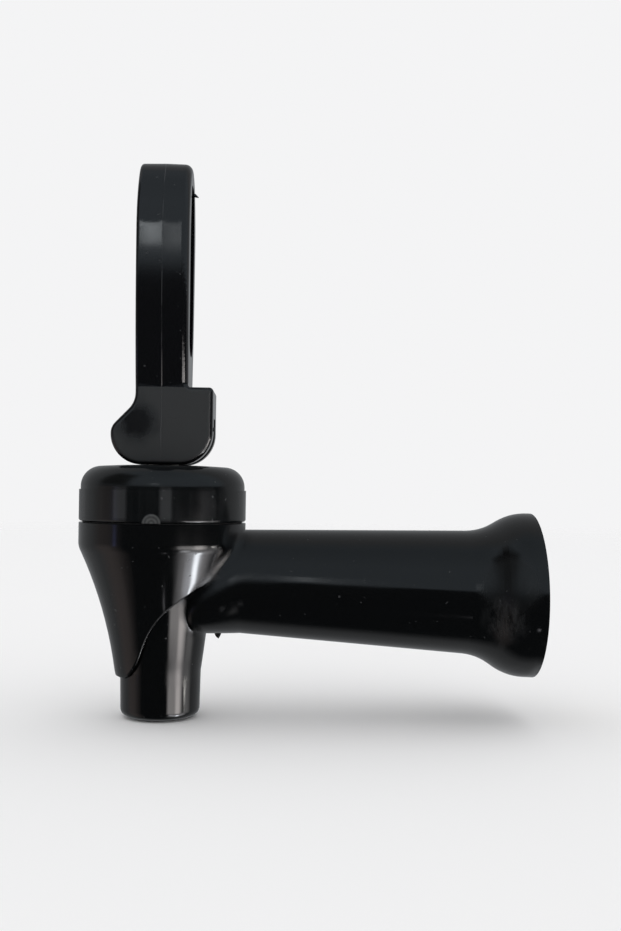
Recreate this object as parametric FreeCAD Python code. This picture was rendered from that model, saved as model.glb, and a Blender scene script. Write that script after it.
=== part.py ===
import FreeCAD, Part
import math
import os

from FreeCAD import Vector

# Samovar faucet: a self-closing tap of moulded plastic with a lift lever.
# The origin is the centre of the flared mouth, +X leaves the mouth towards the urn, +Z is up.
# All lengths are in millimetres.

# Valve axis and the levels on it, from the spout tip up to the top of the bonnet
valve_x = -74.0
spout_end_z = -24.3
spout_sleeve_end_z = -17.3
seat_z = -4.5
collar_bottom_z = 9.1
seam_z = 13.8
neck_top_z = 20.8
bonnet_top_z = 25.1

# Faucet body around the valve axis
collar_r = 16.5
collar_edge = 0.5
neck_wall = 2.7
spout_r = 8.0
spout_bore_r = 5.8
spout_tip_r = 7.8
spout_lip_round = 1.5
orifice_r = 4.6
seat_drop = 2.0
orifice_length = 1.0
skin_step = 1.1
trumpet_hollow = 0.4
trumpet_waist_z = -1.1
trumpet_foot_z = -15.3
skin_foot_bevel = 0.2
collar_bend = 4.0
step_start_z = 11.0
step_edge_round = 0.4
step_course = [(0.582, 0.711), (0.291, 0.595), (0.012, 0.447), (-0.133, 0.296), (-0.212, 0.169), (-0.576, 0.0)]
step_start_beyond = 1.0
step_end_below = 0.1
core_wall = 1.5
core_flare = 1.3
core_waist_z = -5.0
chamber_r = 7.8
chamber_taper_low_z = 4.0
chamber_taper_high_z = 12.0

# Side arm, from its nose over the spout to the flared mouth
nose_inset = 2.2
nose_half_width = 8.6
nose_half_height = 4.4
nose_drop = 6.0
nose_middle_share = 0.5
nose_middle_half_width = 10.2
nose_middle_half_height = 7.9
nose_middle_drop = 2.6
nose_squareness = 2.7
nose_edge_round = 1.4
arm_start_inside = 0.5
arm_start_r = 10.3
arm_start_centre_z = 2.25
arm_neck_x = -12.6
arm_neck_r = 12.35
flare_r = 16.4
flare_top_x = -4.4
flare_slope = math.radians(33.0)
flare_round = 11.0
arm_bore_start_r = 6.0
arm_bore_end_r = 4.6
arm_bore_end_z = 1.0

# Inlet: brass insert, its gasket and the cored ring around them
insert_length = 10.0
insert_r = 10.8
insert_bore_r = 7.475
insert_groove_width = 2.0
insert_groove_depth = 0.9
insert_groove_count = 2
inlet_gasket_thickness = 1.5
inlet_gasket_r = 7.0
inlet_gasket_hole_r = 6.0
core_ring_inner_r = 12.6
core_ring_outer_r = 14.8
core_ring_depth = 4.5
core_rib_count = 8
core_rib_width = 1.2

# Bonnet
bonnet_skirt = 2.1
seam_gap = 0.3
bonnet_band_top_z = 20.3
bonnet_band_step = 0.3
bonnet_shoulder_round = 4.0
bonnet_land_r = 9.0
bonnet_dome_fall = 0.4
bonnet_thread_clearance = 0.2
bonnet_gasket_thickness = 1.0
gate_mark_r = 1.85
gate_mark_x = -0.6
gate_mark_height = 0.12

# Stem, its seals and the closing spring
stem_r = 3.0
stem_clearance = 0.06
stem_collar_r = 4.4
stem_collar_z = 3.4
stem_collar_thickness = 1.4
barb_neck_r = 2.0
barb_neck_length = 4.0
barb_r = 3.0
barb_length = 2.6
barb_clearance = 0.05
plug_clearance = 1.3
plug_edge = 0.8
plug_seat_gap = 0.1
plug_tip_r = 4.0
plug_tip_length = 0.5
o_ring_section = 1.75
o_ring_clearance = 0.02
gland_play = 0.05
gland_washer_r = 9.5
gland_washer_thickness = 1.0
washer_clearance = 0.05
spring_wire = 0.9
spring_mean_r = 5.6
spring_turns = 6.5
spring_points_a_turn = 8
spring_seat_gap = 0.04
spring_washer_clearance = 1.1
spring_washer_thickness = 0.8

# Lever: foot, loop and pin
pivot_height = 5.9
foot_gap = 0.1
foot_half_width = 7.0
foot_height = 15.2
toe_reach = 9.8
toe_round = 6.0
toe_top_z = 7.3
toe_top_round = 3.0
toe_slope = math.radians(46.0)
toe_neck_round = 4.5
heel_reach = 10.0
heel_round = 6.4
shoulder_round = 0.8
strap_half_thickness = 5.1
strap_root_round = 0.5
loop_top_z = 85.6
loop_top_r = 7.0
loop_half_width = 9.75
loop_widest_z = 71.0
loop_wall = 4.4
hole_low_z = 47.0
hole_low_half_width = 4.7
hole_low_round = 4.2
hole_side_round = 30.0
hole_top_flare = 1.0
hole_top_round = 3.0
mould_draft = math.radians(1.2)
lever_edge_round = 0.9
outer_edge_round = 0.7
inner_edge_round = 1.5
foot_collar = 0.8
loop_root_depth = 3.0
pin_r = 1.5
pin_clearance = 0.05
pin_blind_wall = 2.0
pin_recess = 0.15
slot_clearance = 0.2
eye_clearance = 0.5

# Values worked out from those above
foot_z = bonnet_top_z + foot_gap
pivot_z = foot_z + pivot_height - foot_gap
bonnet_ceiling_z = neck_top_z + bonnet_gasket_thickness
bonnet_r = collar_r
bonnet_bore_r = bonnet_r - bonnet_skirt
neck_r = bonnet_bore_r - bonnet_thread_clearance
chamber_top_r = neck_r - neck_wall
skin_foot_r = spout_r + skin_step
trumpet_waist_r = (collar_r + skin_foot_r) / 2 - trumpet_hollow
core_waist_r = chamber_r + core_wall
core_top_r = core_waist_r + core_flare
plug_r = chamber_r - plug_clearance
spring_washer_r = chamber_r - spring_washer_clearance
nose_offset = spout_r - nose_inset
arm_start_offset = collar_r - arm_start_inside
stem_hole_r = stem_r + stem_clearance
stem_collar_top_z = stem_collar_z + stem_collar_thickness
spring_low_z = stem_collar_top_z + spring_washer_thickness
spring_high_z = bonnet_ceiling_z - gland_washer_thickness
gasket_x = -insert_length - inlet_gasket_thickness
slot_half_width = stem_r + slot_clearance
over = 1.0


def on_valve(a, b):
    return Vector(valve_x + a, 0, b)


def on_mouth(a, b):
    return Vector(a, 0, b)


# A closed outline through corners (a, b, radius), each corner rounded by its own radius
def rounded_outline(corners, place):
    edges = []
    ends = []
    for index, (a, b, radius) in enumerate(corners):
        corner = Vector(a, b, 0)
        before = Vector(*corners[index - 1][:2], 0)
        after = Vector(*corners[(index + 1) % len(corners)][:2], 0)
        inward = (before - corner).normalize()
        outward = (after - corner).normalize()
        if radius == 0:
            ends.append((corner, corner))
            continue
        half_angle = inward.getAngle(outward) / 2
        setback = radius / math.tan(half_angle)
        middle = (inward + outward).normalize() * (radius / math.sin(half_angle) - radius)
        start = corner + inward * setback
        end = corner + outward * setback
        arc = Part.Arc(*[place(point.x, point.y) for point in (start, corner + middle, end)])
        edges.append(arc.toShape())
        ends.append((start, end))
    for index, (start, end) in enumerate(ends):
        last = ends[index - 1][1]
        if last.distanceToPoint(start) > 1e-6:
            edges.append(Part.makeLine(place(last.x, last.y), place(start.x, start.y)))
    return Part.Wire(Part.__sortEdges__(edges))


# Turned once around the valve axis, starting on the side away from the arm
def full_turn(face):
    face.rotate(on_valve(0, 0), Vector(0, 0, 1), 180)
    return face.revolve(on_valve(0, 0), Vector(0, 0, 1), 360)


def turned_on_valve(corners):
    return full_turn(Part.Face(rounded_outline(corners, on_valve)))


def turned_on_mouth(corners):
    face = Part.Face(rounded_outline(corners, on_mouth))
    return face.revolve(Vector(0, 0, 0), Vector(1, 0, 0), 360)


def disc(radius, low, high):
    return Part.makeCylinder(radius, high - low, on_valve(0, low))


def ring(inner, outer, low, high):
    return disc(outer, low, high).cut(disc(inner, low - over, high + over))


# Faucet body

# A trumpet around the valve axis, its side an arc through three points, closed by a path back to the axis
def trumpet(top, waist, low, path):
    edges = [Part.Arc(on_valve(*top), on_valve(*waist), on_valve(*low)).toShape()]
    points = [on_valve(*point) for point in [low] + path + [top]]
    for start, end in zip(points, points[1:]):
        edges.append(Part.makeLine(start, end))
    return full_turn(Part.Face(Part.Wire(edges)))


# The swept step where the outer skin of the trumpet ends, drawn in front view.
# Its course is in shares of the collar's radius across and of the step's height up.
def swept_step():
    low_z = spout_sleeve_end_z - step_end_below
    points = [on_valve(collar_r + step_start_beyond, step_start_z)]
    for across, up in step_course:
        points.append(on_valve(across * collar_r, low_z + up * (step_start_z - low_z)))
    curve = Part.BSplineCurve()
    curve.interpolate(points)
    start = curve.StartPoint
    end = curve.EndPoint
    below = on_valve(end.x - valve_x, spout_sleeve_end_z - 4 * over)
    corner = on_valve(start.x - valve_x, below.z)
    edges = [curve.toShape()]
    for first, second in [(end, below), (below, corner), (corner, start)]:
        edges.append(Part.makeLine(first, second))
    face = Part.Face(Part.Wire(edges))
    face.translate(Vector(0, -2 * collar_r, 0))
    return face.extrude(Vector(0, 4 * collar_r, 0))


def outer_skin():
    path = [(skin_foot_r - skin_foot_bevel, spout_sleeve_end_z + skin_step), (spout_r - over, spout_sleeve_end_z),
            (0, spout_sleeve_end_z), (0, seam_z), (collar_r, seam_z)]
    solid = trumpet((collar_r, collar_bottom_z), (trumpet_waist_r, trumpet_waist_z),
                    (skin_foot_r, trumpet_foot_z), path)
    bends = [edge for edge in solid.Edges
             if edge.BoundBox.ZLength < 1e-3 and abs(edge.BoundBox.ZMax - collar_bottom_z) < 1e-3]
    solid = solid.makeFillet(collar_bend, bends).cut(swept_step())
    step_faces = [face for face in solid.Faces if "Extrusion" in face.Surface.TypeId]
    rims = [edge for face in step_faces for edge in face.Edges
            if min(abs(edge.BoundBox.YMin), abs(edge.BoundBox.YMax)) > 1 or edge.BoundBox.ZLength > 1]
    return solid.makeFillet(step_edge_round, rims)


def spout():
    core = trumpet((core_top_r, collar_bottom_z), (core_waist_r, core_waist_z), (spout_r, trumpet_foot_z),
                   [(0, trumpet_foot_z), (0, collar_bottom_z)])
    tube = turned_on_valve([
        (0, trumpet_foot_z + over, 0), (spout_r, trumpet_foot_z + over, 0),
        (spout_tip_r, spout_end_z, spout_lip_round), (0, spout_end_z, 0)])
    return core.fuse(tube)


# The arm runs on a line that rises slightly from the mouth towards the valve
arm_rise = math.atan2(arm_start_centre_z, -valve_x - arm_start_offset)
arm_start_along = -math.hypot(valve_x + arm_start_offset, arm_start_centre_z)


def on_arm_line(solid):
    solid.rotate(Vector(0, 0, 0), Vector(0, 1, 0), math.degrees(arm_rise))
    return solid


# One closed section of the nose, between a round and a squarer form
def nose_section(along, drop, half_width, half_height, squareness):
    points = []
    count = 24
    for step in range(count):
        angle = 2 * math.pi * step / count
        across = math.copysign(abs(math.cos(angle)) ** (2 / squareness), math.cos(angle))
        up = math.copysign(abs(math.sin(angle)) ** (2 / squareness), math.sin(angle))
        points.append(Vector(along, half_width * across, half_height * up - drop))
    curve = Part.BSplineCurve()
    curve.interpolate(Points=points, PeriodicFlag=True)
    return Part.Wire(curve.toShape())


# The nose droops towards the spout: its top falls behind the swept step while its underside runs level
def nose():
    length = arm_start_offset - nose_offset
    circle = Part.makeCircle(arm_start_r, Vector(arm_start_along, 0, 0), Vector(1, 0, 0))
    circle.rotate(Vector(0, 0, 0), Vector(1, 0, 0), -90)
    end = nose_section(arm_start_along - length, nose_drop, nose_half_width, nose_half_height, nose_squareness)
    middle = nose_section(
        arm_start_along - nose_middle_share * length, nose_middle_drop, nose_middle_half_width,
        nose_middle_half_height, (2 + nose_squareness) / 2)
    solid = Part.makeLoft([end, middle, Part.Wire(circle)], True, False)
    end_x = arm_start_along - length
    rims = [edge for edge in solid.Edges if abs(edge.BoundBox.XMax - end_x) < 1e-3]
    return solid.makeFillet(nose_edge_round, rims)


def arm():
    neck_slope = (arm_neck_r - arm_start_r) / (arm_neck_x - arm_start_along)
    flare_foot = flare_top_x - (flare_r - arm_neck_r) / math.tan(flare_slope)
    foot_r = arm_start_r + neck_slope * (flare_foot - arm_start_along)
    shaft = turned_on_mouth([
        (arm_start_along, 0, 0), (arm_start_along, arm_start_r, 0), (flare_foot, foot_r, flare_round),
        (flare_top_x, flare_r, flare_round), (over, flare_r, 0), (over, 0, 0)])
    beyond = Part.makeBox(4 * over, 3 * flare_r, 3 * flare_r, Vector(0, -1.5 * flare_r, -1.5 * flare_r))
    return on_arm_line(shaft.fuse(nose())).cut(beyond)


def insert_solid():
    land = (insert_length - insert_groove_count * insert_groove_width) / (insert_groove_count + 1)
    solid = Part.makeCylinder(insert_r, insert_length, Vector(-insert_length, 0, 0), Vector(1, 0, 0))
    for index in range(insert_groove_count):
        groove_x = -insert_length + land + index * (land + insert_groove_width)
        groove = Part.makeCylinder(insert_r + over, insert_groove_width, Vector(groove_x, 0, 0), Vector(1, 0, 0))
        core = Part.makeCylinder(insert_r - insert_groove_depth, insert_groove_width,
                                 Vector(groove_x, 0, 0), Vector(1, 0, 0))
        solid = solid.cut(groove.cut(core))
    return solid


# The ring that is cored out of the mouth, divided by radial ribs
def mouth_core():
    outer = Part.makeCylinder(core_ring_outer_r, core_ring_depth + over, Vector(-core_ring_depth, 0, 0),
                              Vector(1, 0, 0))
    inner = Part.makeCylinder(core_ring_inner_r, core_ring_depth + over, Vector(-core_ring_depth, 0, 0),
                              Vector(1, 0, 0))
    core = outer.cut(inner)
    for index in range(core_rib_count):
        rib = Part.makeBox(core_ring_depth + 3 * over, core_rib_width, flare_r,
                           Vector(-core_ring_depth - over, -core_rib_width / 2, 0))
        rib.rotate(Vector(0, 0, 0), Vector(1, 0, 0), 360 * (index + 0.5) / core_rib_count)
        core = core.cut(rib)
    return core


def faucet_body():
    collar = turned_on_valve([
        (0, step_start_z, 0), (collar_r, step_start_z, 0), (collar_r, seam_z, collar_edge), (0, seam_z, 0)])
    neck = disc(neck_r, seam_z - over, neck_top_z)
    body = spout().fuse(outer_skin())
    for form in [arm(), collar, neck]:
        body = body.fuse(form)

    chamber = turned_on_valve([
        (0, seat_z - seat_drop, 0), (orifice_r, seat_z - seat_drop, 0), (chamber_r, seat_z, 0),
        (chamber_r, chamber_taper_low_z, 0), (chamber_top_r, chamber_taper_high_z, 0),
        (chamber_top_r, neck_top_z + over, 0), (0, neck_top_z + over, 0)])
    throat_z = seat_z - seat_drop - orifice_length
    outlet = turned_on_valve([
        (0, seat_z - seat_drop + over, 0), (orifice_r, seat_z - seat_drop + over, 0), (orifice_r, throat_z, 0),
        (spout_bore_r, throat_z - (spout_bore_r - orifice_r), 0), (spout_bore_r, spout_end_z - over, 0),
        (0, spout_end_z - over, 0)])
    bore_start = Vector(gasket_x, 0, 0)
    bore_run = on_valve(0, arm_bore_end_z) - bore_start
    arm_bore = Part.makeCone(arm_bore_start_r, arm_bore_end_r, bore_run.Length, bore_start, bore_run)
    gasket_seat = Part.makeCylinder(inlet_gasket_r, inlet_gasket_thickness + over, Vector(gasket_x, 0, 0),
                                    Vector(1, 0, 0))
    for hollow in [chamber, outlet, arm_bore, gasket_seat, insert_solid(), mouth_core()]:
        body = body.cut(hollow)
    return body


def bonnet():
    shoulder_r = bonnet_r - bonnet_band_step
    solid = turned_on_valve([
        (0, bonnet_top_z, 0), (bonnet_land_r, bonnet_top_z, 0),
        (shoulder_r, bonnet_top_z - bonnet_dome_fall, bonnet_shoulder_round),
        (shoulder_r, bonnet_band_top_z, 0), (bonnet_r, bonnet_band_top_z, 0),
        (bonnet_r, seam_z + seam_gap, collar_edge), (0, seam_z + seam_gap, 0)])
    gate = Part.makeCylinder(gate_mark_r, over + gate_mark_height,
                             Vector(valve_x + gate_mark_x, -bonnet_r - gate_mark_height, seam_z + seam_gap),
                             Vector(0, 1, 0))
    gate = gate.common(disc(bonnet_r + over, seam_z + seam_gap, bonnet_top_z))
    solid = solid.fuse(gate)
    solid = solid.cut(disc(bonnet_bore_r, seam_z - over, bonnet_ceiling_z))
    solid = solid.cut(disc(stem_hole_r, seam_z, bonnet_top_z + over))
    groove_r = stem_r + o_ring_clearance + o_ring_section + gland_play
    groove_top_z = bonnet_ceiling_z + o_ring_section + 2 * gland_play
    return solid.cut(disc(groove_r, seam_z, groove_top_z)).removeSplitter()


def bonnet_gasket():
    return ring(chamber_top_r, neck_r, neck_top_z, bonnet_ceiling_z)


def gland_washer():
    return ring(stem_r + washer_clearance, gland_washer_r, spring_high_z, bonnet_ceiling_z)


def stem_o_ring():
    mean_r = stem_r + o_ring_clearance + o_ring_section / 2
    return Part.makeTorus(mean_r, o_ring_section / 2, on_valve(0, bonnet_ceiling_z + gland_play + o_ring_section / 2))


def lower_spring_washer():
    return ring(stem_r + washer_clearance, spring_washer_r, stem_collar_top_z, spring_low_z)


# Round wire along a smooth curve, its first and last turns lying flat on the washers
def closing_spring():
    first_z = spring_low_z + spring_seat_gap + spring_wire / 2
    climb = spring_high_z - spring_seat_gap - spring_wire / 2 - first_z
    path_points = []
    for step in range(int(spring_turns * spring_points_a_turn) + 1):
        turn = step / spring_points_a_turn
        rise = min(max(turn - 1, 0) / (spring_turns - 2), 1)
        angle = 2 * math.pi * turn
        outward = Vector(math.cos(angle), math.sin(angle), 0)
        path_points.append(on_valve(0, first_z + climb * rise) + outward * spring_mean_r)
    path = Part.BSplineCurve()
    path.interpolate(path_points)
    profile = Part.Wire(Part.makeCircle(spring_wire / 2, path_points[0], path.tangent(path.FirstParameter)[0]))
    return Part.Wire(path.toShape()).makePipeShell([profile], True, True)


def barb(clearance):
    neck_z = stem_collar_z - barb_neck_length
    return turned_on_valve([
        (0, stem_collar_z, 0), (barb_neck_r + clearance, stem_collar_z, 0),
        (barb_neck_r + clearance, neck_z + clearance, 0), (barb_r + clearance, neck_z + clearance, 0),
        (barb_neck_r + clearance, neck_z - barb_length - clearance, 0), (0, neck_z - barb_length - clearance, 0)])


def stem():
    shank = disc(stem_r, stem_collar_z, pivot_z)
    collar = disc(stem_collar_r, stem_collar_z, stem_collar_top_z)
    eye = Part.makeCylinder(stem_r, 2 * stem_r, on_valve(0, pivot_z) - Vector(0, stem_r, 0), Vector(0, 1, 0))
    eye = eye.common(disc(stem_r, pivot_z - stem_r, pivot_z + stem_r))
    hole = Part.makeCylinder(pin_r + pin_clearance, 4 * stem_r, on_valve(0, pivot_z) - Vector(0, 2 * stem_r, 0),
                             Vector(0, 1, 0))
    return shank.fuse([collar, eye, barb(0)]).removeSplitter().cut(hole)


def seat_plug():
    slope = seat_drop / (chamber_r - orifice_r)
    rim_z = seat_z + plug_seat_gap - (chamber_r - plug_r) * slope
    tip_z = seat_z + plug_seat_gap - (chamber_r - plug_tip_r) * slope
    top_z = stem_collar_z - barb_clearance
    solid = turned_on_valve([
        (0, top_z, 0), (plug_r, top_z, plug_edge), (plug_r, rim_z, 0), (plug_tip_r, tip_z, 0),
        (plug_tip_r, tip_z - plug_tip_length, 0), (0, tip_z - plug_tip_length, 0)])
    return solid.cut(barb(barb_clearance))


# Lever

# The foot is a cam: it rocks on the bonnet about its toe
def foot():
    root_z = foot_z + foot_height
    neck_z = foot_z + toe_top_z + (toe_reach - strap_half_thickness) * math.tan(toe_slope)
    corners = [
        (-toe_reach, foot_z, toe_round), (heel_reach, foot_z, heel_round), (heel_reach, root_z, shoulder_round),
        (strap_half_thickness, root_z, strap_root_round),
        (strap_half_thickness, root_z + foot_collar, 0), (-strap_half_thickness, root_z + foot_collar, 0),
        (-strap_half_thickness, neck_z, toe_neck_round), (-toe_reach, foot_z + toe_top_z, toe_top_round)]
    face = Part.Face(rounded_outline(corners, on_valve))
    face.translate(Vector(0, -foot_half_width, 0))
    solid = face.extrude(Vector(0, 2 * foot_half_width, 0))
    rims = [edge for edge in solid.Edges if edge.BoundBox.YLength < 1e-3 and edge.BoundBox.ZMax < root_z + 1e-3]
    return solid.makeFillet(lever_edge_round, rims)


# Front outline of the loop at one depth, drawn in by the draft of the mould
def loop_outline(x, inset):
    def at(side, y, z):
        return Vector(valve_x + x, side * y, z)

    half_foot = foot_half_width - inset
    half_loop = loop_half_width - inset
    top_r = loop_top_r - inset
    root_z = foot_z + foot_height
    low_z = root_z - loop_root_depth
    top_centre_z = loop_top_z - loop_top_r
    rise = loop_widest_z - root_z
    lower_r = (rise ** 2 + (half_loop - half_foot) ** 2) / (2 * (half_loop - half_foot))
    fall = top_centre_z - loop_widest_z
    upper_r = (half_loop ** 2 + fall ** 2 - top_r ** 2) / (2 * (half_loop - top_r))
    upper_angle = math.atan2(fall, upper_r - half_loop)

    def on_lower_arc(side, z):
        return at(side, half_loop - lower_r + math.sqrt(lower_r ** 2 - (loop_widest_z - z) ** 2), z)

    def on_upper_arc(side, angle):
        return at(side, half_loop - upper_r * (1 - math.cos(angle)), loop_widest_z + upper_r * math.sin(angle))

    edges = [Part.makeLine(on_lower_arc(-1, low_z), on_lower_arc(1, low_z))]
    for side in (1, -1):
        widest = at(side, half_loop, loop_widest_z)
        middle = on_lower_arc(side, (low_z + loop_widest_z) / 2)
        edges.append(Part.Arc(on_lower_arc(side, low_z), middle, widest).toShape())
        edges.append(Part.Arc(widest, on_upper_arc(side, upper_angle / 2), on_upper_arc(side, upper_angle)).toShape())
    edges.append(Part.Arc(on_upper_arc(1, upper_angle), at(1, 0, top_centre_z + top_r),
                          on_upper_arc(-1, upper_angle)).toShape())
    return Part.Wire(Part.__sortEdges__(edges))


# Half of the loop, from the parting line out to one face
def loop_half(side, edge_round):
    inset = strap_half_thickness * math.tan(mould_draft)
    solid = Part.makeLoft([loop_outline(0, 0), loop_outline(side * strap_half_thickness, inset)], True, True)
    face_x = valve_x + side * strap_half_thickness
    rims = [edge for edge in solid.Edges
            if abs(edge.CenterOfMass.x - face_x) < 1e-3 and edge.BoundBox.ZLength > 1]
    return solid.makeFillet(edge_round, rims)


def lever_hole():
    def at(y, z):
        return Vector(valve_x - strap_half_thickness - over, y, z)

    half_width = loop_half_width - loop_wall
    high_z = loop_top_z - loop_wall
    half_top = loop_top_r - loop_wall + hole_top_flare
    corners = [
        (-hole_low_half_width, hole_low_z, hole_low_round), (hole_low_half_width, hole_low_z, hole_low_round),
        (half_width, loop_widest_z, hole_side_round), (half_top, high_z, hole_top_round),
        (-half_top, high_z, hole_top_round), (-half_width, loop_widest_z, hole_side_round)]
    return Part.Face(rounded_outline(corners, at)).extrude(Vector(2 * (strap_half_thickness + over), 0, 0))


def lever():
    solid = foot().fuse([loop_half(-1, outer_edge_round), loop_half(1, inner_edge_round)])
    slot_top_z = pivot_z + stem_r + eye_clearance
    slot = Part.makeBox(toe_reach + heel_reach + 2 * over, 2 * slot_half_width, slot_top_z - foot_z + over,
                        on_valve(-toe_reach - over, foot_z - over) - Vector(0, slot_half_width, 0))
    return solid.cut(lever_hole()).cut(slot).cut(pin_solid(over))


# The pin is pushed in from the far cheek and ends blind in the near one
def pin_solid(head):
    start_y = -foot_half_width + pin_blind_wall
    length = foot_half_width - pin_recess - start_y + head
    return Part.makeCylinder(pin_r, length, on_valve(0, pivot_z) + Vector(0, start_y, 0), Vector(0, 1, 0))


def lever_pin():
    return pin_solid(0)


def inlet_insert():
    bore = Part.makeCylinder(insert_bore_r, insert_length + 2 * over, Vector(-insert_length - over, 0, 0),
                             Vector(1, 0, 0))
    return insert_solid().cut(bore)


def inlet_gasket():
    outer = Part.makeCylinder(inlet_gasket_r, inlet_gasket_thickness, Vector(gasket_x, 0, 0), Vector(1, 0, 0))
    hole = Part.makeCylinder(inlet_gasket_hole_r, inlet_gasket_thickness + 2 * over, Vector(gasket_x - over, 0, 0),
                             Vector(1, 0, 0))
    return outer.cut(hole)


os.makedirs("parts", exist_ok=True)
nodes = [faucet_body, bonnet, bonnet_gasket, gland_washer, stem_o_ring, closing_spring, lower_spring_washer,
         stem, seat_plug, lever, lever_pin, inlet_insert, inlet_gasket]
for make in nodes:
    shape = make()
    print(make.__name__, shape.isValid(), len(shape.Solids), round(shape.Volume, 1))
    shape.exportStep("parts/" + make.__name__ + ".step")
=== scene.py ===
import math

import bpy
from mathutils import Matrix, Vector


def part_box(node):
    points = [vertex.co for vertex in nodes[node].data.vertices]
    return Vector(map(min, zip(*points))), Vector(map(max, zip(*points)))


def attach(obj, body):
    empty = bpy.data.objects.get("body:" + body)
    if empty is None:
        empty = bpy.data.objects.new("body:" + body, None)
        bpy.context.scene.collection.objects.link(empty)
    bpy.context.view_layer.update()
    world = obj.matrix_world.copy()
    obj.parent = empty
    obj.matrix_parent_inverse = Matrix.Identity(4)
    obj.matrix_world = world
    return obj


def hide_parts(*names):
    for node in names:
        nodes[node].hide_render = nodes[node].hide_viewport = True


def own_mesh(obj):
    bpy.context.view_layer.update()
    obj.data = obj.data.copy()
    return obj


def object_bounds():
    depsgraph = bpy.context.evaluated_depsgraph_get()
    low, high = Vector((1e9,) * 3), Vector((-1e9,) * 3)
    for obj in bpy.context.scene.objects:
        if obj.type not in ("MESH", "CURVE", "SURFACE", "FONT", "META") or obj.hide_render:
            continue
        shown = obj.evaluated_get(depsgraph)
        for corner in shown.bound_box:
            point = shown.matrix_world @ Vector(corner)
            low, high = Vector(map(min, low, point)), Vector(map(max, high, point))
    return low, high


# Samovar faucet: a black moulded tap with a lift lever, in a plain pale studio.
# Everything is in metres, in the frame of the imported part.

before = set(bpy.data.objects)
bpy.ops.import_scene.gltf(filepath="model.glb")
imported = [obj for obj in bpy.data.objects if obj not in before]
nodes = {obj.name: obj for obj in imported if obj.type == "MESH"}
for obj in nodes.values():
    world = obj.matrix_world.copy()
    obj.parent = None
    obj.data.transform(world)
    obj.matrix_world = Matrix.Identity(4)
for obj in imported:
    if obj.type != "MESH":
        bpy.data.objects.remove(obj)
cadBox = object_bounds()
scene = bpy.context.scene
valveX = (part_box("stem")[0].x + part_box("stem")[1].x) / 2
print("frame loaded:", len(nodes), "nodes")


# Helpers for shader nodes; a noise pattern is its scale, detail and roughness

def newMaterial(name):
    material = bpy.data.materials.new(name)
    material.use_nodes = True
    tree = material.node_tree
    return material, tree, tree.nodes["Principled BSDF"]


def objectPlace(tree):
    return tree.nodes.new("ShaderNodeTexCoord").outputs["Object"]


def lightPath(tree):
    return tree.nodes.new("ShaderNodeLightPath").outputs


def coordinate(tree, place, axis):
    parts = tree.nodes.new("ShaderNodeSeparateXYZ")
    tree.links.new(place, parts.inputs[0])
    return parts.outputs[axis]


def distanceTo(tree, place, point):
    node = tree.nodes.new("ShaderNodeVectorMath")
    node.operation = "DISTANCE"
    tree.links.new(place, node.inputs[0])
    node.inputs[1].default_value = point
    return node.outputs["Value"]


def noiseNode(tree, place, pattern):
    noise = tree.nodes.new("ShaderNodeTexNoise")
    for name, value in zip(("Scale", "Detail", "Roughness"), pattern):
        noise.inputs[name].default_value = value
    tree.links.new(place, noise.inputs["Vector"])
    return noise.outputs["Fac"]


def rampNode(tree, value, low, high, start=0.0, end=1.0):
    span = tree.nodes.new("ShaderNodeMapRange")
    span.inputs["From Min"].default_value = low
    span.inputs["From Max"].default_value = high
    span.inputs["To Min"].default_value = start
    span.inputs["To Max"].default_value = end
    tree.links.new(value, span.inputs["Value"])
    return span.outputs["Result"]


def fadeNode(tree, value, low, high):
    return rampNode(tree, value, low, high, 1.0, 0.0)


def mathNode(tree, operation, first, second):
    node = tree.nodes.new("ShaderNodeMath")
    node.operation = operation
    for socket, value in zip(node.inputs, (first, second)):
        if isinstance(value, (int, float)):
            socket.default_value = value
        else:
            tree.links.new(value, socket)
    return node.outputs[0]


def unary(tree, operation, value):
    return mathNode(tree, operation, value, 0.0)


def offCentre(tree, value, centre):
    return unary(tree, "ABSOLUTE", mathNode(tree, "SUBTRACT", value, centre))


def addShare(tree, value, mask, amount):
    return mathNode(tree, "ADD", value, mathNode(tree, "MULTIPLY", mask, amount))


def mixNode(tree, kind, factor, first, second):
    mix = tree.nodes.new("ShaderNodeMix")
    mix.data_type = kind
    tree.links.new(factor, mix.inputs["Factor"])
    for name, value in (("A", first), ("B", second)):
        socket = [item for item in mix.inputs if item.name == name and item.type == kind][0]
        if isinstance(value, tuple):
            socket.default_value = (*value, 1)
        else:
            tree.links.new(value, socket)
    return [item for item in mix.outputs if item.type == kind][0]


def mixColour(tree, factor, first, second):
    return mixNode(tree, "RGBA", factor, first, second)


def bumpNode(tree, height, strength, distance, normal=None):
    bump = tree.nodes.new("ShaderNodeBump")
    bump.inputs["Strength"].default_value = strength
    bump.inputs["Distance"].default_value = distance
    tree.links.new(height, bump.inputs["Height"])
    if normal is not None:
        tree.links.new(normal, bump.inputs["Normal"])
    return bump.outputs["Normal"]


# Lever: satin faces on the foot with a darker, glossier spot, and the mould's parting line as a
# raised ridge with a painted highlight along it

footFace = {
    "top": 0.0403, "edge": 0.0001, "turnedFrom": 0.86, "turnedTo": 0.97,
    "colour": (0.018, 0.0185, 0.0185), "roughness": 0.42,
}
# A darker, glossier spot on the foot face: inside it the satin colour and roughness are mostly
# left out.
footDarkSpot = {
    "centre": (valveX - 0.0046, -0.0075, 0.0335), "inner": 0.00315, "outer": 0.0063,
    "satinLeft": 0.15, "uneven": (420.0, 2.0, 0.5), "unevenBy": 0.0022,
}
# The parting line is a raised ridge in the bump; its lighter colour is a painted highlight along
# that ridge.
partingRidgeAndHighlight = {
    "inner": 0.000045, "outer": 0.00009, "colour": (0.030, 0.031, 0.033),
    "broken": (220.0, 2.0, 0.5), "brokenFrom": 0.42, "brokenTo": 0.56, "faintest": 0.25,
}


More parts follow.
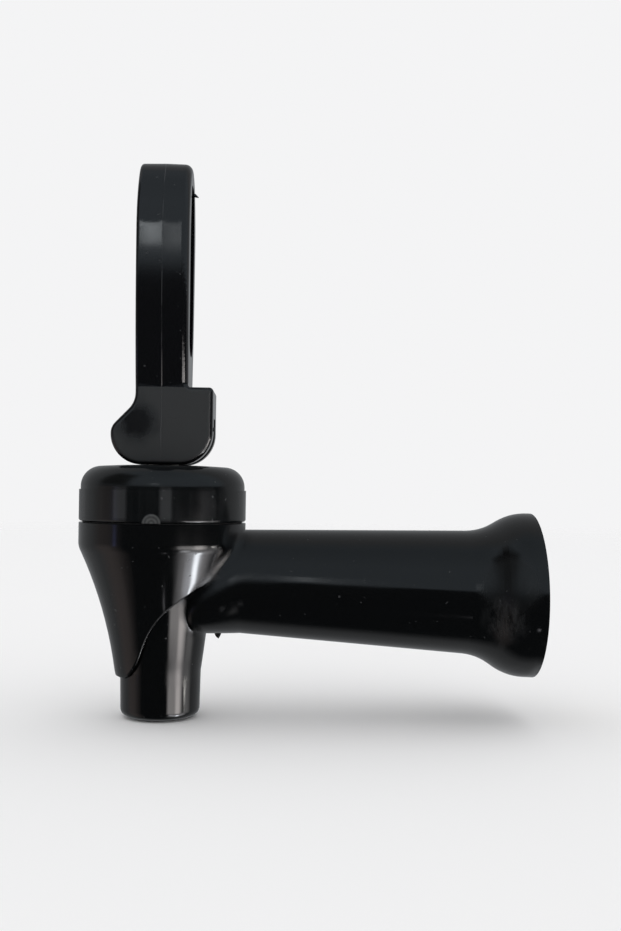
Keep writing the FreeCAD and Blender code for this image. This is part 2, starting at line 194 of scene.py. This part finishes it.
def footMask(tree, place):
    top, edge = footFace["top"], footFace["edge"]
    foot = fadeNode(tree, coordinate(tree, place, "Z"), top - edge, top + edge)
    normal = tree.nodes.new("ShaderNodeTexCoord").outputs["Normal"]
    turned = unary(tree, "ABSOLUTE", coordinate(tree, normal, "Y"))
    front = rampNode(tree, turned, footFace["turnedFrom"], footFace["turnedTo"])
    return mathNode(tree, "MULTIPLY", foot, front)


def leverMarks(tree, place, tint, rough):
    uneven = noiseNode(tree, place, footDarkSpot["uneven"])
    away = addShare(tree, distanceTo(tree, place, footDarkSpot["centre"]), uneven,
                    footDarkSpot["unevenBy"])
    # Darker, glossier spot: the satin fades out towards its centre.
    darkSpot = fadeNode(tree, away, footDarkSpot["inner"], footDarkSpot["outer"])
    outsideDarkSpot = rampNode(tree, darkSpot, 0.0, 1.0, 1.0, footDarkSpot["satinLeft"])
    satin = mathNode(tree, "MULTIPLY", footMask(tree, place), outsideDarkSpot)
    tint = mixColour(tree, satin, tint, footFace["colour"])
    rough = addShare(tree, rough, satin, footFace["roughness"])
    side = offCentre(tree, coordinate(tree, place, "X"), valveX)
    line = fadeNode(tree, side, partingRidgeAndHighlight["inner"], partingRidgeAndHighlight["outer"])
    broken = rampNode(tree, noiseNode(tree, place, partingRidgeAndHighlight["broken"]),
                      partingRidgeAndHighlight["brokenFrom"], partingRidgeAndHighlight["brokenTo"],
                      partingRidgeAndHighlight["faintest"], 1.0)
    # Painted highlight: the parting line is tinted lighter, broken by noise.
    tint = mixColour(tree, mathNode(tree, "MULTIPLY", line, broken), tint, partingRidgeAndHighlight["colour"])
    return tint, rough, line


# Bonnet: painted reflection streaks, upright and grey, round the skirt, in degrees from the front,
# and the gate mark

skirt = {
    "middle": 0.01765, "inner": 0.002485, "outer": 0.00355, "colour": (0.030, 0.031, 0.032),
    "soft": 2.5, "faint": (7.0, 3.0, 0.65), "faintFrom": 0.46, "faintTo": 0.66, "faintShare": 0.14,
}
skirtReflectionStreaks = [
    {"angle": -24.0, "half": 6.0, "share": 0.80}, {"angle": 7.0, "half": 5.0, "share": 1.0},
    {"angle": -62.0, "half": 5.0, "share": 0.35}, {"angle": 36.0, "half": 7.0, "share": 0.32},
]
gateMark = {
    "centre": (valveX - 0.0006, -0.0165, 0.0141), "inner": 0.00148, "outer": 0.00185,
    "colour": (0.066, 0.068, 0.066), "roughness": 0.35, "ringRate": 9000.0,
    "grain": (1500.0, 3.0, 0.6), "grainShare": 2.4, "mottleFrom": -0.2, "mottleTo": 2.4,
    "faintest": 0.1,
}


def skirtReflectionMask(tree, place):
    forward = mathNode(tree, "MULTIPLY", coordinate(tree, place, "Y"), -1.0)
    sideways = mathNode(tree, "SUBTRACT", coordinate(tree, place, "X"), valveX)
    turn = mathNode(tree, "ARCTAN2", sideways, forward)
    turnOnly = tree.nodes.new("ShaderNodeCombineXYZ")
    tree.links.new(turn, turnOnly.inputs["X"])
    streaks = rampNode(tree, noiseNode(tree, turnOnly.outputs[0], skirt["faint"]),
                       skirt["faintFrom"], skirt["faintTo"], 0.0, skirt["faintShare"])
    angle = unary(tree, "DEGREES", turn)
    for streak in skirtReflectionStreaks:
        band = rampNode(tree, offCentre(tree, angle, streak["angle"]),
                        streak["half"] - skirt["soft"], streak["half"], streak["share"], 0.0)
        streaks = mathNode(tree, "MAXIMUM", streaks, band)
    height = offCentre(tree, coordinate(tree, place, "Z"), skirt["middle"])
    onSkirt = fadeNode(tree, height, skirt["inner"], skirt["outer"])
    return mathNode(tree, "MULTIPLY", streaks, onSkirt)


def bonnetMarks(tree, place, tint, rough):
    # Painted reflection: the skirt is tinted grey in upright streaks.
    tint = mixColour(tree, skirtReflectionMask(tree, place), tint, skirt["colour"])
    away = distanceTo(tree, place, gateMark["centre"])
    inside = fadeNode(tree, away, gateMark["inner"], gateMark["outer"])
    rings = unary(tree, "SINE", mathNode(tree, "MULTIPLY", away, gateMark["ringRate"]))
    grained = addShare(tree, rings, noiseNode(tree, place, gateMark["grain"]),
                       gateMark["grainShare"])
    mottled = rampNode(tree, grained, gateMark["mottleFrom"], gateMark["mottleTo"],
                       gateMark["faintest"], 1.0)
    tint = mixColour(tree, mathNode(tree, "MULTIPLY", inside, mottled), tint, gateMark["colour"])
    return tint, addShare(tree, rough, inside, gateMark["roughness"]), inside


# Body: scuffs and a hazed patch on the flare. Two joins are rounded in the shading: the nose
# with the round of the arm, and the trumpet with the spout's tube.

flareScuff = {
    "centre": (-0.0078, -0.0135, -0.0038), "inner": 0.00312, "outer": 0.0052,
    "colour": (0.013, 0.0135, 0.014), "roughness": 0.3, "stretch": (1.0, 1.0, 0.35),
    "scratches": (900.0, 4.0, 0.7), "scratchFrom": 0.38, "scratchTo": 0.72,
}
flareHaze = {
    "centre": (-0.0070, -0.0145, 0.0030), "inner": 0.00476, "outer": 0.0068, "roughness": 0.24,
}
roundedJoins = {"radius": 0.0035, "samples": 8}
armRoot = {"centre": (valveX + 0.0150, 0.0, 0.0015), "inner": 0.0120, "outer": 0.0150}
spoutJoin = {
    "z": -0.0152, "inner": 0.0020, "outer": 0.0035, "from": valveX - 0.0015, "to": valveX + 0.0010,
}


def patchMask(tree, place, values):
    return fadeNode(tree, distanceTo(tree, place, values["centre"]),
                    values["inner"], values["outer"])


def bodyMarks(tree, place, tint, rough):
    stretched = tree.nodes.new("ShaderNodeMapping")
    stretched.inputs["Scale"].default_value = flareScuff["stretch"]
    tree.links.new(place, stretched.inputs["Vector"])
    scratches = rampNode(tree, noiseNode(tree, stretched.outputs[0], flareScuff["scratches"]),
                         flareScuff["scratchFrom"], flareScuff["scratchTo"])
    worn = mathNode(tree, "MULTIPLY", patchMask(tree, place, flareScuff), scratches)
    rough = addShare(tree, rough, patchMask(tree, place, flareHaze), flareHaze["roughness"])
    tint = mixColour(tree, worn, tint, flareScuff["colour"])
    return tint, addShare(tree, rough, worn, flareScuff["roughness"]), worn


def softJoins(tree, place, surface):
    rounded = tree.nodes.new("ShaderNodeBevel")
    rounded.samples = roundedJoins["samples"]
    rounded.inputs["Radius"].default_value = roundedJoins["radius"]
    height = offCentre(tree, coordinate(tree, place, "Z"), spoutJoin["z"])
    band = fadeNode(tree, height, spoutJoin["inner"], spoutJoin["outer"])
    side = rampNode(tree, coordinate(tree, place, "X"), spoutJoin["from"], spoutJoin["to"])
    atSpout = mathNode(tree, "MULTIPLY", band, side)
    near = mathNode(tree, "MAXIMUM", patchMask(tree, place, armRoot), atSpout)
    return mixNode(tree, "VECTOR", near, surface, rounded.outputs[0])


# Black plastic of the three mouldings: cloudy gloss, a slight wave, grain and a few dust specks

blackPlastic = {
    "body": {"colour": (0.0016, 0.0017, 0.0018), "dustColour": (0.024, 0.025, 0.026),
             "roughness": 0.085, "waviness": 0.10, "specular": 0.50},
    "bonnet": {"colour": (0.0020, 0.0024, 0.0026), "dustColour": (0.018, 0.019, 0.020),
               "roughness": 0.15, "waviness": 0.10, "specular": 0.52},
    "lever": {"colour": (0.0024, 0.0023, 0.0028), "dustColour": (0.020, 0.021, 0.022),
              "roughness": 0.065, "waviness": 0.008, "specular": 0.62},
}
plasticSkin = {
    "dust": (1300.0, 0.0, 0.5), "dustFrom": 0.825, "dustTo": 0.85, "dustRoughness": 0.3,
    "cloud": (60.0, 3.0, 0.55), "cloudFrom": 0.3, "cloudTo": 0.75,
    "smoothest": 0.7, "roughest": 1.9,
    "wave": (95.0, 1.0, 0.4), "waveDepth": 0.0006,
    "grain": (2600.0, 2.0, 0.6), "grainStrength": 0.04, "grainDepth": 0.00003,
    "markStrength": 0.6, "markDepth": 0.00005,
}


def mouldedPlastic(name, values, marks, soften=None):
    material, tree, skin = newMaterial(name)
    place = objectPlace(tree)
    dust = rampNode(tree, noiseNode(tree, place, plasticSkin["dust"]),
                    plasticSkin["dustFrom"], plasticSkin["dustTo"])
    tint = mixColour(tree, dust, values["colour"], values["dustColour"])
    cloudy = rampNode(tree, noiseNode(tree, place, plasticSkin["cloud"]),
                      plasticSkin["cloudFrom"], plasticSkin["cloudTo"],
                      values["roughness"] * plasticSkin["smoothest"],
                      values["roughness"] * plasticSkin["roughest"])
    rough = addShare(tree, cloudy, dust, plasticSkin["dustRoughness"])
    surface = bumpNode(tree, noiseNode(tree, place, plasticSkin["wave"]),
                       values["waviness"], plasticSkin["waveDepth"])
    surface = bumpNode(tree, noiseNode(tree, place, plasticSkin["grain"]),
                       plasticSkin["grainStrength"], plasticSkin["grainDepth"], surface)
    tint, rough, raised = marks(tree, place, tint, rough)
    surface = bumpNode(tree, raised, plasticSkin["markStrength"], plasticSkin["markDepth"],
                       surface)
    if soften is not None:
        surface = soften(tree, place, surface)
    tree.links.new(tint, skin.inputs["Base Color"])
    tree.links.new(rough, skin.inputs["Roughness"])
    tree.links.new(surface, skin.inputs["Normal"])
    skin.inputs["Specular IOR Level"].default_value = values["specular"]
    return material


# Plain materials of the inner pieces

innerFinishes = {
    "brassTurned": {"colour": (0.80, 0.58, 0.26), "shade": 0.72, "scale": 240.0,
                    "roughness": 0.28, "metallic": 1.0, "subsurface": 0.0},
    "springSteel": {"colour": (0.50, 0.50, 0.51), "shade": 0.75, "scale": 300.0,
                    "roughness": 0.30, "metallic": 1.0, "subsurface": 0.0},
    "acetalWhite": {"colour": (0.74, 0.72, 0.66), "shade": 0.90, "scale": 180.0,
                    "roughness": 0.38, "metallic": 0.0, "subsurface": 0.0},
    "siliconeMilk": {"colour": (0.66, 0.66, 0.63), "shade": 0.90, "scale": 120.0,
                     "roughness": 0.45, "metallic": 0.0, "subsurface": 0.2},
    "rubberBlack": {"colour": (0.018, 0.018, 0.018), "shade": 0.7, "scale": 260.0,
                    "roughness": 0.62, "metallic": 0.0, "subsurface": 0.0},
}
plainSkin = {
    "cloudDetail": 3.0, "cloudRoughness": 0.6, "shadeFrom": 0.35, "shadeTo": 0.7,
    "cloudFrom": 0.3, "cloudTo": 0.7, "smoothest": 0.8, "roughest": 1.3,
    "grainFiner": 8, "grainDetail": 2.0, "grainRoughness": 0.5,
    "grainStrength": 0.15, "grainDepth": 0.00003,
}


def plainMaterial(name, values):
    material, tree, skin = newMaterial(name)
    place = objectPlace(tree)
    cloud = noiseNode(tree, place, (values["scale"], plainSkin["cloudDetail"],
                                    plainSkin["cloudRoughness"]))
    grain = noiseNode(tree, place, (values["scale"] * plainSkin["grainFiner"],
                                    plainSkin["grainDetail"], plainSkin["grainRoughness"]))
    dark = tuple(value * values["shade"] for value in values["colour"])
    lit = rampNode(tree, cloud, plainSkin["shadeFrom"], plainSkin["shadeTo"])
    rough = rampNode(tree, cloud, plainSkin["cloudFrom"], plainSkin["cloudTo"],
                     values["roughness"] * plainSkin["smoothest"],
                     values["roughness"] * plainSkin["roughest"])
    surface = bumpNode(tree, grain, plainSkin["grainStrength"], plainSkin["grainDepth"])
    tree.links.new(mixColour(tree, lit, dark, values["colour"]), skin.inputs["Base Color"])
    tree.links.new(rough, skin.inputs["Roughness"])
    tree.links.new(surface, skin.inputs["Normal"])
    skin.inputs["Metallic"].default_value = values["metallic"]
    skin.inputs["Subsurface Weight"].default_value = values["subsurface"]
    return material


finishes = {name: plainMaterial(name, values) for name, values in innerFinishes.items()}
finishes["bodyPlastic"] = mouldedPlastic("bodyPlastic", blackPlastic["body"], bodyMarks, softJoins)
finishes["bonnetPlastic"] = mouldedPlastic("bonnetPlastic", blackPlastic["bonnet"], bonnetMarks)
finishes["leverPlastic"] = mouldedPlastic("leverPlastic", blackPlastic["lever"], leverMarks)

nodeFinishes = {
    "faucet_body": "bodyPlastic", "bonnet": "bonnetPlastic", "lever": "leverPlastic",
    "lever_pin": "springSteel", "closing_spring": "springSteel",
    "lower_spring_washer": "springSteel", "stem": "acetalWhite", "gland_washer": "acetalWhite",
    "seat_plug": "siliconeMilk", "inlet_gasket": "siliconeMilk", "stem_o_ring": "rubberBlack",
    "bonnet_gasket": "rubberBlack", "inlet_insert": "brassTurned",
}

for nodeName, finishName in nodeFinishes.items():
    mesh = nodes[nodeName].data
    mesh.materials.clear()
    mesh.materials.append(finishes[finishName])
print("materials set on", len(nodeFinishes), "nodes")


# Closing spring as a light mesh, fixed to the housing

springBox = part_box("closing_spring")
spring = {"wire": 0.00045, "turns": 6.5, "flatTurns": 1.0, "stepsPerTurn": 28, "sides": 10}


def newPiece(name, verts, faces, finish, smooth=True):
    mesh = bpy.data.meshes.new(name)
    mesh.from_pydata(verts, [], faces)
    for face in mesh.polygons:
        face.use_smooth = smooth and len(face.vertices) == 4
    mesh.materials.append(finish)
    piece = bpy.data.objects.new(name, mesh)
    scene.collection.objects.link(piece)
    return piece


def tubeFaces(rings, sides):
    faces = [tuple(reversed(range(sides))), tuple(range((rings - 1) * sides, rings * sides))]
    for ring in range(rings - 1):
        for side in range(sides):
            here = ring * sides + side
            beside = ring * sides + (side + 1) % sides
            faces.append((here, beside, beside + sides, here + sides))
    return faces


def springMesh(values):
    low, high = springBox
    wire, flat = values["wire"], values["flatTurns"]
    coilRadius = (high.x - low.x) / 2 - wire
    bottom = low.z + wire
    climb = high.z - low.z - 2 * wire
    steps = int(values["turns"] * values["stepsPerTurn"])
    verts = []
    for step in range(steps + 1):
        turn = step / values["stepsPerTurn"]
        rise = min(max(turn - flat, 0) / (values["turns"] - 2 * flat), 1)
        angle = 2 * math.pi * turn
        for side in range(values["sides"]):
            around = 2 * math.pi * side / values["sides"]
            reach = coilRadius + wire * math.cos(around)
            verts.append((valveX + reach * math.cos(angle), reach * math.sin(angle),
                          bottom + climb * rise + wire * math.sin(around)))
    return verts, tubeFaces(steps + 1, values["sides"])


springPiece = newPiece("closingSpringCoil", *springMesh(spring), finishes["springSteel"])
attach(springPiece, "housing")
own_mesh(springPiece)
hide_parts("closing_spring")


# Painted shade: a black ring filling the joint between the bonnet and the collar, standing in for
# the shadow in the seam

seam = {"inner": 0.0142, "outer": 0.0158, "low": 0.01385, "high": 0.01405, "sides": 96}


def seamRing(values):
    corners = [(values["inner"], values["low"]), (values["outer"], values["low"]),
               (values["outer"], values["high"]), (values["inner"], values["high"])]
    verts = []
    faces = []
    for side in range(values["sides"]):
        angle = 2 * math.pi * side / values["sides"]
        beyond = (side + 1) % values["sides"]
        for corner, (reach, height) in enumerate(corners):
            verts.append((valveX + reach * math.cos(angle), reach * math.sin(angle), height))
            after = (corner + 1) % 4
            faces.append((side * 4 + corner, beyond * 4 + corner,
                          beyond * 4 + after, side * 4 + after))
    return verts, faces


seamPiece = newPiece("seamShadow", *seamRing(seam), finishes["rubberBlack"], smooth=False)
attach(seamPiece, "housing")


# Flash left by the mould: a drip under the arm, a burr on the strap and a nub on the heel

flash = {
    "armDrip": {"body": "housing", "place": (-0.0628, 0.0, -0.00815),
                "reach": (0.0002, 0.0, -0.0011), "width": 0.00085, "finish": "bodyPlastic"},
    "strapBurr": {"body": "lever", "place": (-0.06895, 0.0048, 0.0808),
                  "reach": (0.00085, 0.0, -0.0004), "width": 0.0004, "finish": "leverPlastic"},
    "heelNub": {"body": "lever", "place": (-0.0640, -0.0030, 0.0323),
                "reach": (0.00028, 0.0, 0.0), "width": 0.0006, "finish": "leverPlastic"},
}
flashForm = {
    "rings": 5, "sides": 12, "sunk": 0.4, "taper": 0.7, "tip": 0.00004,
    "depth": 0.8, "lobes": 3, "lobeHeight": 0.18,
}


def flashMesh(values):
    start = Vector(values["place"])
    reach = Vector(values["reach"])
    across = reach.cross(Vector((0, 1, 0))).normalized()
    deep = Vector((0, flashForm["depth"], 0))
    sunk = flashForm["sunk"]
    verts = []
    for ring in range(flashForm["rings"]):
        share = ring / (flashForm["rings"] - 1)
        radius = values["width"] * (1 - share) ** flashForm["taper"] + flashForm["tip"]
        for side in range(flashForm["sides"]):
            angle = 2 * math.pi * side / flashForm["sides"]
            uneven = 1 + flashForm["lobeHeight"] * math.sin(flashForm["lobes"] * angle + ring)
            offset = across * math.cos(angle) + deep * math.sin(angle)
            verts.append(start - reach * sunk + reach * (1 + sunk) * share
                         + offset * radius * uneven)
    return verts, tubeFaces(flashForm["rings"], flashForm["sides"])


for flashName, flashValues in flash.items():
    flashPiece = newPiece(flashName, *flashMesh(flashValues), finishes[flashValues["finish"]])
    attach(flashPiece, flashValues["body"])
print("spring, seam and flash made")


# Floor: pale paper that fades out far away and is clear to glossy rays, which see the room

studio = {
    "middle": (-0.045, 0.0), "gap": 0.0004, "half": 2.0, "fadeFrom": 0.25, "fadeTo": 1.2,
    "colour": (0.92, 0.92, 0.92), "roughness": 0.95,
}
floorZ = cadBox[0][2] - studio["gap"]


def floorMesh():
    half = studio["half"]
    corners = [(-half, -half), (half, -half), (half, half), (-half, half)]
    mesh = bpy.data.meshes.new("studioFloor")
    mesh.from_pydata([(x, y, floorZ) for x, y in corners], [], [(0, 1, 2, 3)])
    return mesh


def floorPaper():
    material, tree, skin = newMaterial("floorPaper")
    skin.inputs["Base Color"].default_value = (*studio["colour"], 1)
    skin.inputs["Roughness"].default_value = studio["roughness"]
    skin.inputs["Specular IOR Level"].default_value = 0.0
    away = distanceTo(tree, objectPlace(tree), (*studio["middle"], floorZ))
    faded = rampNode(tree, away, studio["fadeFrom"], studio["fadeTo"])
    clear = mathNode(tree, "MAXIMUM", faded, lightPath(tree)["Is Glossy Ray"])
    choice = tree.nodes.new("ShaderNodeMixShader")
    tree.links.new(clear, choice.inputs[0])
    tree.links.new(skin.outputs[0], choice.inputs[1])
    tree.links.new(tree.nodes.new("ShaderNodeBsdfTransparent").outputs[0], choice.inputs[2])
    tree.links.new(choice.outputs[0], tree.nodes["Material Output"].inputs["Surface"])
    return material


floor = bpy.data.objects.new("studioFloor", floorMesh())
scene.collection.objects.link(floor)
floor.data.materials.append(floorPaper())


# The room that the plastic mirrors: dark below the horizon, softly lit above it, with bright
# panels. Angles are in degrees, from the front of the part and from the horizon.

room = {
    "view": (0.905, 0.905, 0.912), "backdrop": (0.30, 0.31, 0.32), "tint": (0.86, 1.0, 1.12),
    "below": 0.04, "wall": 0.45, "ceiling": 0.34,
    "wallFrom": 5.0, "wallTo": 7.5, "ceilingFrom": 45.0, "ceilingTo": 80.0,
    "behindFrom": -0.05, "behindTo": 0.25,
}

panels = {
    "tableGlow": {"azimuth": 62.0, "wide": 26.0, "elevation": -40.0, "tall": 16.0, "soft": 9.0,
                  "strength": 2.9, "colour": (0.99, 0.98, 1.0)},
    "spoutStreak": {"azimuth": 48.0, "wide": 22.0, "elevation": -16.0, "tall": 7.5, "soft": 3.5,
                    "strength": 3.8, "colour": (1.02, 0.98, 0.97)},
    "spoutBright": {"azimuth": 57.0, "wide": 7.0, "elevation": -16.0, "tall": 7.5, "soft": 3.5,
                    "strength": 7.6, "colour": (1.04, 0.98, 0.96)},
    "spoutEdge": {"azimuth": 88.0, "wide": 13.0, "elevation": -15.0, "tall": 7.0, "soft": 3.5,
                  "strength": 1.7, "colour": (1.0, 0.99, 0.99)},
    "sparkle": {"azimuth": 79.0, "wide": 3.0, "elevation": -11.2, "tall": 0.7, "soft": 0.4,
                "strength": 22.0, "colour": (1.03, 1.0, 0.95)},
    "hotGlow": {"azimuth": 62.0, "wide": 13.0, "elevation": -43.0, "tall": 6.0, "soft": 4.5,
                "strength": 6.0, "colour": (0.96, 0.98, 1.04)},
    "hotPane": {"azimuth": 67.0, "wide": 4.5, "elevation": -44.0, "tall": 5.0, "soft": 2.0,
                "strength": 24.0, "colour": (0.95, 0.99, 1.04)},
    "smoke": {"azimuth": 39.0, "wide": 6.0, "elevation": -33.0, "tall": 4.0, "soft": 3.5,
              "strength": 7.0, "colour": (0.98, 0.99, 1.03)},
    "bluePane": {"azimuth": -63.0, "wide": 2.0, "elevation": -6.0, "tall": 3.0, "soft": 1.2,
                 "strength": 2.0, "colour": (0.45, 0.55, 1.3)},
    "warmSide": {"azimuth": -88.0, "wide": 26.0, "elevation": -26.0, "tall": 24.0, "soft": 12.0,
                 "strength": 0.45, "colour": (1.1, 0.95, 0.92)},
    "darkDoor": {"azimuth": -73.0, "wide": 28.0, "elevation": 32.0, "tall": 26.0, "soft": 5.0,
                 "strength": 0.05, "colour": (1.0, 1.0, 1.0)},
    "flareSpot": {"azimuth": 9.0, "wide": 1.8, "elevation": -43.0, "tall": 1.6, "soft": 0.8,
                  "strength": 2.0, "colour": (1.0, 1.0, 1.06)},
    "leftPane": {"azimuth": -8.5, "wide": 0.50, "elevation": 14.5, "tall": 4.5, "soft": 0.06,
                 "strength": 5.0, "colour": (0.94, 1.0, 1.04)},
    "rightHaze": {"azimuth": -2.55, "wide": 0.55, "elevation": 14.0, "tall": 5.0, "soft": 0.15,
                  "strength": 1.7, "colour": (0.94, 1.0, 1.04)},
    "rightPane": {"azimuth": -2.28, "wide": 0.14, "elevation": 14.5, "tall": 4.5, "soft": 0.05,
                  "strength": 3.6, "colour": (0.94, 1.0, 1.04)},
}


def roomLight(tree, direction):
    forward = mathNode(tree, "MULTIPLY", direction["Y"], -1.0)
    azimuth = unary(tree, "DEGREES", mathNode(tree, "ARCTAN2", direction["X"], forward))
    elevation = unary(tree, "DEGREES", unary(tree, "ARCSINE", direction["Z"]))
    wall = rampNode(tree, elevation, room["wallFrom"], room["wallTo"],
                    room["below"], room["wall"])
    ceiling = rampNode(tree, elevation, room["ceilingFrom"], room["ceilingTo"],
                       0.0, room["ceiling"] - room["wall"])
    tinted = tree.nodes.new("ShaderNodeVectorMath")
    tinted.operation = "SCALE"
    tinted.inputs[0].default_value = room["tint"]
    tree.links.new(mathNode(tree, "ADD", wall, ceiling), tinted.inputs["Scale"])
    light = tinted.outputs[0]
    for panel in panels.values():
        soft = panel["soft"]
        beside = fadeNode(tree, offCentre(tree, azimuth, panel["azimuth"]),
                          panel["wide"] - soft, panel["wide"] + soft)
        above = fadeNode(tree, offCentre(tree, elevation, panel["elevation"]),
                         panel["tall"] - soft, panel["tall"] + soft)
        bright = tuple(part * panel["strength"] for part in panel["colour"])
        light = mixColour(tree, mathNode(tree, "MULTIPLY", beside, above), light, bright)
    behind = rampNode(tree, direction["Y"], room["behindFrom"], room["behindTo"])
    return mixColour(tree, behind, light, room["backdrop"])


world = bpy.data.worlds.new("studioRoom")
scene.world = world
world.use_nodes = True
sky = world.node_tree
skyParts = sky.nodes.new("ShaderNodeSeparateXYZ")
sky.links.new(sky.nodes.new("ShaderNodeTexCoord").outputs["Generated"], skyParts.inputs[0])
mirrored = sky.nodes["Background"]
sky.links.new(roomLight(sky, skyParts.outputs), mirrored.inputs["Color"])
seen = sky.nodes.new("ShaderNodeBackground")
seen.inputs["Color"].default_value = (*room["view"], 1)
seenChoice = sky.nodes.new("ShaderNodeMixShader")
sky.links.new(lightPath(sky)["Is Glossy Ray"], seenChoice.inputs[0])
sky.links.new(seen.outputs[0], seenChoice.inputs[1])
sky.links.new(mirrored.outputs[0], seenChoice.inputs[2])
sky.links.new(seenChoice.outputs[0], sky.nodes["World Output"].inputs["Surface"])


# One broad lamp overhead gives the floor its soft shadow

overhead = {"place": (-0.05, 0.05, 1.10), "aim": (-0.045, 0.0, 0.02), "size": 1.2, "power": 1.2}

lampData = bpy.data.lights.new("overhead", "AREA")
lampData.size = overhead["size"]
lampData.energy = overhead["power"]
lamp = bpy.data.objects.new("overhead", lampData)
lamp.location = overhead["place"]
lampAim = Vector(overhead["aim"]) - Vector(overhead["place"])
lamp.rotation_euler = lampAim.to_track_quat("-Z", "Y").to_euler()
lamp.visible_glossy = False
scene.collection.objects.link(lamp)
print("studio built")


# Camera where the photograph was taken: close, and level with the bonnet; angles in degrees

camera = {
    "place": (-0.05312, -0.22096, 0.02111), "pitch": -1.152, "yaw": -2.202, "roll": 0.710,
    "lens": 42.53, "sensor": 36.0, "nearest": 0.01, "farthest": 20.0,
}

lensData = bpy.data.cameras.new("photoCamera")
lensData.lens = camera["lens"]
lensData.sensor_fit = "AUTO"
lensData.sensor_width = camera["sensor"]
lensData.clip_start = camera["nearest"]
lensData.clip_end = camera["farthest"]
view = bpy.data.objects.new("photoCamera", lensData)
view.location = camera["place"]
viewTurn = Matrix.Rotation(math.radians(camera["yaw"]), 3, "Z")
viewTurn = viewTurn @ Matrix.Rotation(math.radians(90.0 - camera["pitch"]), 3, "X")
viewTurn = viewTurn @ Matrix.Rotation(math.radians(camera["roll"]), 3, "Z")
view.rotation_euler = viewTurn.to_euler()
scene.collection.objects.link(view)
scene.camera = view

scene.view_settings.view_transform = "Standard"
